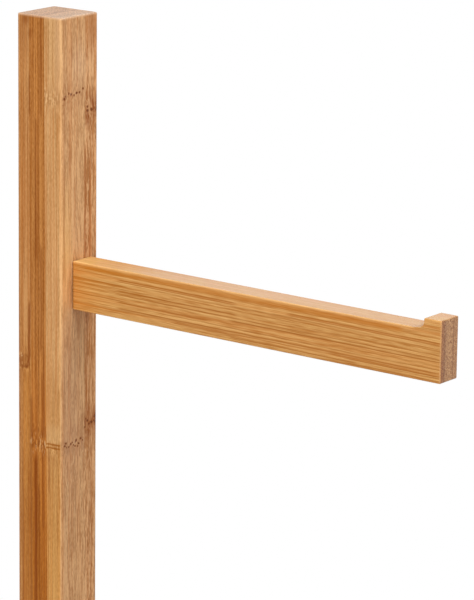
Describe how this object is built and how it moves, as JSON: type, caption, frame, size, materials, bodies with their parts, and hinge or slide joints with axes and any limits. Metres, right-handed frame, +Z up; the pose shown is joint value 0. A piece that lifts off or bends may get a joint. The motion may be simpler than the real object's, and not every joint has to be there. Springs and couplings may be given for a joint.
{
  "type": "toilet paper stand",
  "caption": "Free-standing toilet paper stand of laminated bamboo: a square post on a flat base carries a slim arm whose turned-up lip keeps the roll on.",
  "frame": {"origin": "on the floor, under the middle of the base plate", "axes": "+Z up along the post, +X along the arm from the post to the lip, and -Y the side that faces the viewer's left"},
  "size_m": [0.2, 0.2, 0.65],
  "materials": {
    "post_bamboo": "carbonised laminated bamboo, clear satin lacquer, strips with node marks along the post",
    "arm_bamboo": "carbonised edge-grain bamboo, clear satin lacquer, fine grain lines along the arm",
    "base_bamboo": "carbonised laminated bamboo, clear satin lacquer, strips along the arm's direction",
    "dowel_wood": "bare fluted beech",
    "zinc_plated_steel": "bright zinc plating",
    "insert_brass": "plain turned brass",
    "pad_rubber": "matt black rubber"
  },
  "bodies": {
    "root": {"post": "post_bamboo", "arm": "arm_bamboo", "base_plate": "base_bamboo", "arm_screw": "zinc_plated_steel", "arm_dowel": "dowel_wood", "base_dowel_front": "dowel_wood", "base_dowel_rear": "dowel_wood", "post_insert": "insert_brass", "base_bolt": "zinc_plated_steel", "base_washer": "zinc_plated_steel", "foot_pad_front_left": "pad_rubber", "foot_pad_front_right": "pad_rubber", "foot_pad_rear_left": "pad_rubber", "foot_pad_rear_right": "pad_rubber"}
  },
  "joints": []
}
